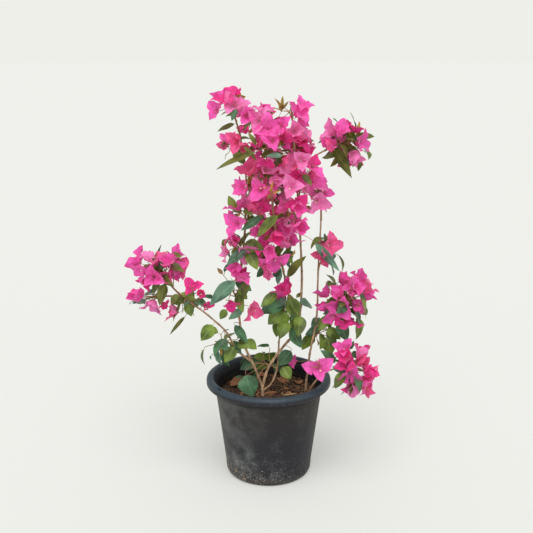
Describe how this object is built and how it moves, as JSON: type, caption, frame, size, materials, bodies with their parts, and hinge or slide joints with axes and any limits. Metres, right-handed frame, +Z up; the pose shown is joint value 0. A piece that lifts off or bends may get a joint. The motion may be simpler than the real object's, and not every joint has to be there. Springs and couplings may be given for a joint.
{
  "type": "potted bougainvillea bush",
  "caption": "Bougainvillea bush with slim arching canes, pink bracts and green leaves, growing in a round dark plastic nursery pot.",
  "frame": {"origin": "centre of the pot's flat underside", "axes": "+Z up along the pot's axis, +X to the right and -Y towards the viewer as the bush was pictured"},
  "size_m": [0.5944, 0.3, 0.93],
  "materials": {
    "pot_plastic": "moulded, dusty",
    "potting_mix": "loose coir and husk chips",
    "bark": "thin ridged bark",
    "bracts": "papery",
    "leaves": "satin leaf"
  },
  "bodies": {
    "root": {"pot": "pot_plastic", "soil": "potting_mix", "root_crown": "bark", "cane_left": "bark", "cane_middle": "bark", "cane_leader": "bark", "cane_outer": "bark", "cane_low": "bark", "arm_left": "bark", "arm_right": "bark", "arm_upper": "bark", "crest_left": "bracts", "crest_middle": "bracts", "crest_right": "bracts", "crest_back": "bracts", "upper_left": "bracts", "upper_front": "bracts", "upper_back": "bracts", "upper_arm": "bracts", "core_left": "bracts", "core_right": "bracts", "core_back": "bracts", "shoulder_right": "bracts", "waist_left": "bracts", "waist_right": "bracts", "waist_back": "bracts", "under_left": "bracts", "under_middle": "bracts", "under_right": "bracts", "leaf_left": "leaves", "leaf_middle": "leaves", "leaf_low_left": "leaves", "arm_left_tip": "bracts", "arm_left_under": "bracts", "arm_left_root": "bracts", "arm_right_spray": "bracts", "leaf_right": "leaves", "skirt_near": "bracts", "skirt_far": "bracts", "leaf_foot": "leaves"}
  },
  "joints": []
}
